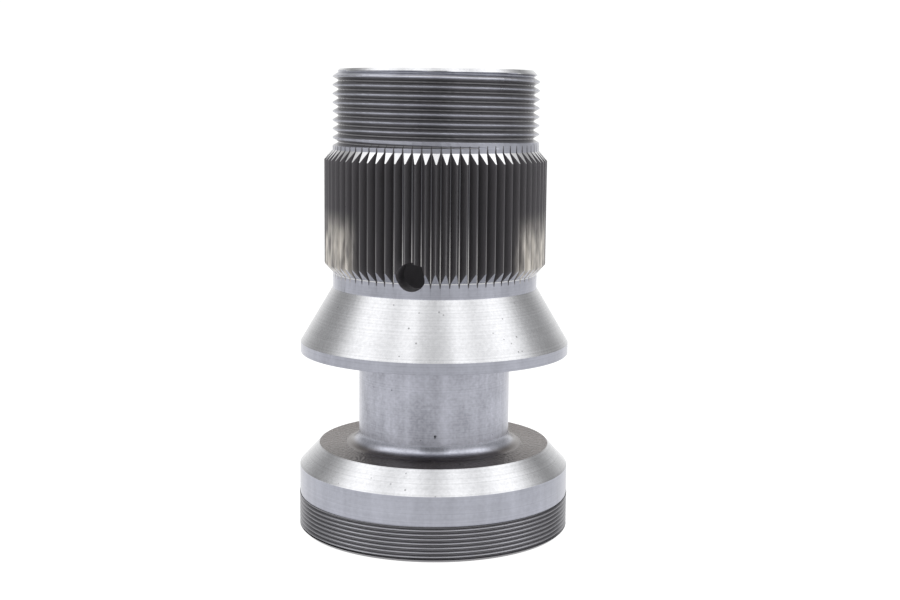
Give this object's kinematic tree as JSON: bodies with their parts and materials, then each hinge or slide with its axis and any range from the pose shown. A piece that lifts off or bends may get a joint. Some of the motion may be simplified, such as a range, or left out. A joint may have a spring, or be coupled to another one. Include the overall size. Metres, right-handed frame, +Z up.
{
  "type": "cnc turned part",
  "caption": "Turned steel hub with a serrated spigot, conical seat, left-hand cap thread, slim neck and threaded base flange.",
  "frame": {"origin": "centre of the flat base face of the flange, on the turning axis", "axes": "+Z up along the turning axis towards the cap thread; -Y is the side that carries the cross hole"},
  "size_m": [0.064, 0.064, 0.1077],
  "materials": {
    "steel": "fine turned bare steel"
  },
  "bodies": {
    "root": {"hub": "steel"}
  },
  "joints": []
}
